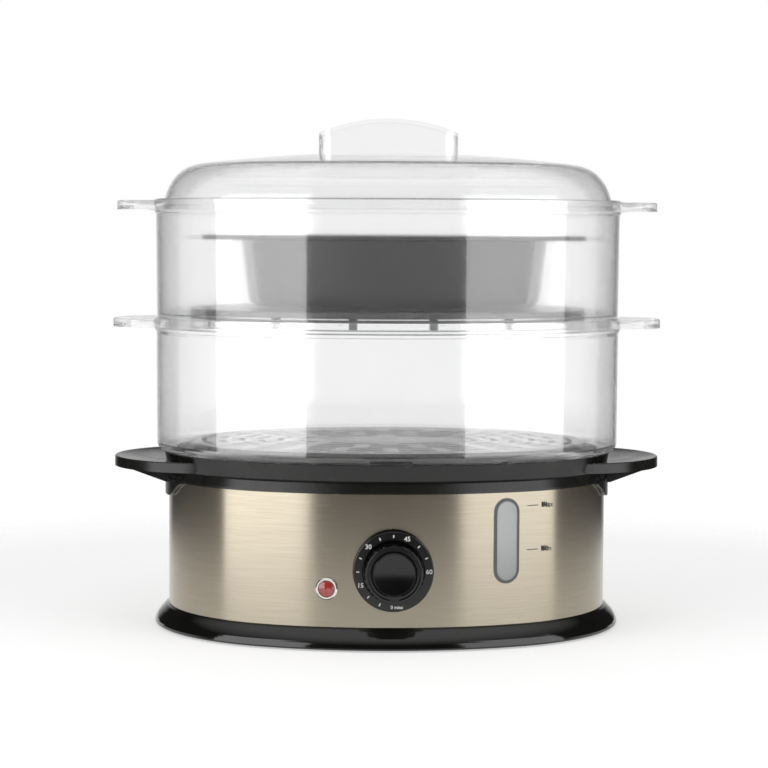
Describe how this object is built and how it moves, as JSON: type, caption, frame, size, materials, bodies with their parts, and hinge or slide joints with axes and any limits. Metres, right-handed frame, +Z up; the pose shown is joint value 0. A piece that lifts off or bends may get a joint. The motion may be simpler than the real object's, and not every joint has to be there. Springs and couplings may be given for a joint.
{
  "type": "electric food steamer",
  "caption": "Oval electric food steamer: brushed steel base with dial timer, drip tray with end handles, stacked clear baskets with perforated floors, rice bowl and clear lid.",
  "frame": {"origin": "on the surface the steamer stands on, under the middle of its overall box", "axes": "+Z up, +X to the right along the long axis as seen from the front, -Y out of the front where the dial is"},
  "size_m": [0.34, 0.245, 0.3124],
  "materials": {
    "gloss_black": "gloss moulded black plastic of the foot ring",
    "black_plastic": "satin moulded black plastic of the tank rim and the drip tray",
    "dial_black": "satin black plastic of the dial and its knob",
    "brushed_steel": "horizontally brushed stainless steel with a warm tone",
    "clear_plastic": "clear, slightly milky moulded plastic",
    "smoke_plastic": "dark translucent plastic",
    "gauge_clear": "grey translucent gauge window",
    "bowl_plastic": "dark grey plastic of the rice bowl",
    "white_plastic": "white heat-proof plastic",
    "red_lens": "red translucent indicator lens",
    "bezel_metal": "bright indicator ring",
    "rubber": "soft black rubber",
    "seal_silicone": "grey silicone seal",
    "zinc_steel": "bright zinc-plated steel",
    "cast_aluminium": "cast aluminium"
  },
  "bodies": {
    "base": {"foot_ring": "gloss_black", "bottom_plate": "black_plastic", "rubber_feet": "rubber", "base_screws": "zinc_steel", "steel_band": "brushed_steel", "reservoir": "black_plastic", "heater": "cast_aluminium", "heater_seal": "seal_silicone", "heater_screws": "zinc_steel", "thermostat": "white_plastic", "thermal_fuse": "zinc_steel", "gauge_window": "gauge_clear", "gauge_seal": "seal_silicone", "indicator_bezel": "bezel_metal", "indicator_lens": "red_lens", "indicator_lamp": "white_plastic", "timer_dial": "dial_black", "timer_screws": "zinc_steel", "timer_body": "zinc_steel", "terminal_block": "white_plastic", "cord_gland": "black_plastic"},
    "knob": {"timer_knob": "dial_black", "timer_shaft": "zinc_steel"},
    "sleeve": {"steam_sleeve": "white_plastic"},
    "tray": {"drip_tray": "black_plastic"},
    "lower_tier": {"lower_basket": "clear_plastic"},
    "lower_floor": {"lower_grid": "smoke_plastic"},
    "upper_tier": {"upper_basket": "clear_plastic"},
    "upper_floor": {"upper_grid": "smoke_plastic"},
    "bowl": {"rice_bowl": "bowl_plastic"},
    "cover": {"lid": "clear_plastic"}
  },
  "joints": [
    {"name": "knob_turn", "type": "hinge", "parent": "base", "child": "knob", "pos_m": [0, -0.10435, 0.04675], "axis": [0, 1, 0], "range_deg": [0, 270]},
    {"name": "tray_lift", "type": "slide", "parent": "base", "child": "tray", "axis": [0, 0, 1], "range_m": [0, 0.06]},
    {"name": "sleeve_lift", "type": "slide", "parent": "base", "child": "sleeve", "axis": [0, 0, 1], "range_m": [0, 0.036]},
    {"name": "lower_lift", "type": "slide", "parent": "tray", "child": "lower_tier", "axis": [0, 0, 1], "range_m": [0, 0.05]},
    {"name": "upper_lift", "type": "slide", "parent": "lower_tier", "child": "upper_tier", "axis": [0, 0, 1], "range_m": [0, 0.1]},
    {"name": "lower_floor_lift", "type": "slide", "parent": "lower_tier", "child": "lower_floor", "axis": [0, 0, 1], "range_m": [0, 0.09]},
    {"name": "lid_lift", "type": "slide", "parent": "upper_tier", "child": "cover", "axis": [0, 0, 1], "range_m": [0, 0.12]},
    {"name": "bowl_lift", "type": "slide", "parent": "upper_tier", "child": "bowl", "axis": [0, 0, 1], "range_m": [0, 0.09]},
    {"name": "upper_floor_lift", "type": "slide", "parent": "upper_tier", "child": "upper_floor", "axis": [0, 0, 1], "range_m": [0, 0.084]}
  ],
  "couplings": [
    {"joint": "sleeve_lift", "follows": "tray_lift", "ratio": 0.6},
    {"joint": "lower_floor_lift", "follows": "upper_lift", "ratio": 0.9},
    {"joint": "bowl_lift", "follows": "lid_lift", "ratio": 0.75},
    {"joint": "upper_floor_lift", "follows": "lid_lift", "ratio": 0.7}
  ]
}
